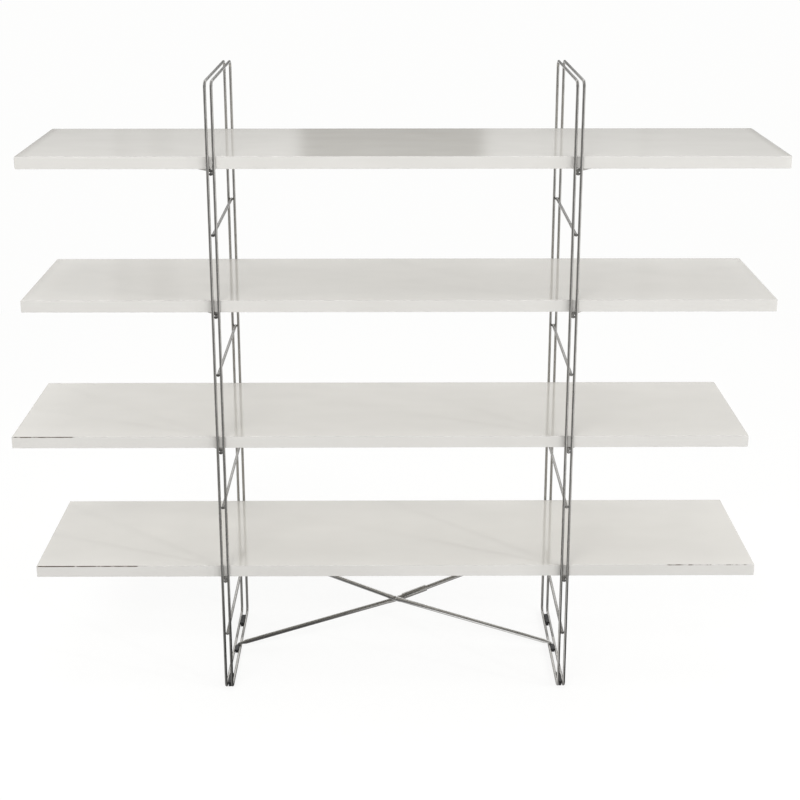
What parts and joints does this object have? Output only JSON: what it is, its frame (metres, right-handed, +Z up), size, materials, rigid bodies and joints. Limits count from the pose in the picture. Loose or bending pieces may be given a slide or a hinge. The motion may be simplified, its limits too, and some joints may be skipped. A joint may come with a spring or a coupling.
{
  "type": "open wire-frame shelving unit",
  "caption": "Open shelving unit with long white laminated boards held in two ladder frames of doubled plated wire, cross-braced near the floor.",
  "frame": {"origin": "on the floor, under the middle of the unit's overall box", "axes": "+X to the right along the boards, +Y from front to back, +Z up"},
  "size_m": [1.608, 0.356, 1.353],
  "materials": {
    "white_laminate": "high-gloss white laminate on chipboard",
    "plated_wire": "bright nickel plating",
    "plated_rod": "bright nickel plating",
    "plated_rivet": "plated steel",
    "black_plastic": "moulded, satin"
  },
  "bodies": {
    "frames": {"left_hoop_outer": "plated_wire", "left_hoop_inner": "plated_wire", "left_shelf_rung_1": "plated_wire", "left_bay_rung_1": "plated_wire", "left_support_wire_1": "plated_wire", "left_shelf_rung_2": "plated_wire", "left_bay_rung_2": "plated_wire", "left_support_wire_2": "plated_wire", "left_shelf_rung_3": "plated_wire", "left_bay_rung_3": "plated_wire", "left_support_wire_3": "plated_wire", "left_shelf_rung_4": "plated_wire", "left_bay_rung_4": "plated_wire", "left_support_wire_4": "plated_wire", "left_front_spacer": "plated_wire", "left_rear_spacer": "plated_wire", "left_front_foot": "black_plastic", "left_rear_foot": "black_plastic", "left_lower_brace_clip": "black_plastic", "left_upper_brace_clip": "black_plastic", "right_hoop_outer": "plated_wire", "right_hoop_inner": "plated_wire", "right_shelf_rung_1": "plated_wire", "right_bay_rung_1": "plated_wire", "right_support_wire_1": "plated_wire", "right_shelf_rung_2": "plated_wire", "right_bay_rung_2": "plated_wire", "right_support_wire_2": "plated_wire", "right_shelf_rung_3": "plated_wire", "right_bay_rung_3": "plated_wire", "right_support_wire_3": "plated_wire", "right_shelf_rung_4": "plated_wire", "right_bay_rung_4": "plated_wire", "right_support_wire_4": "plated_wire", "right_front_spacer": "plated_wire", "right_rear_spacer": "plated_wire", "right_front_foot": "black_plastic", "right_rear_foot": "black_plastic", "right_lower_brace_clip": "black_plastic", "right_upper_brace_clip": "black_plastic", "brace_rod_a": "plated_rod", "brace_rod_b": "plated_rod", "brace_rivet": "plated_rivet", "brace_sleeve": "plated_rod"},
    "board_bottom": {"shelf_bottom": "white_laminate"},
    "board_lower": {"shelf_lower": "white_laminate"},
    "board_upper": {"shelf_upper": "white_laminate"},
    "board_top": {"shelf_top": "white_laminate"}
  },
  "joints": [
    {"name": "board_bottom_slide", "type": "slide", "parent": "frames", "child": "board_bottom", "axis": [1, 0, 0], "range_m": [-0.302, 0.298]},
    {"name": "board_lower_slide", "type": "slide", "parent": "frames", "child": "board_lower", "axis": [1, 0, 0], "range_m": [-0.27, 0.33]},
    {"name": "board_upper_slide", "type": "slide", "parent": "frames", "child": "board_upper", "axis": [1, 0, 0], "range_m": [-0.31, 0.29]},
    {"name": "board_top_slide", "type": "slide", "parent": "frames", "child": "board_top", "axis": [1, 0, 0], "range_m": [-0.318, 0.282]}
  ]
}
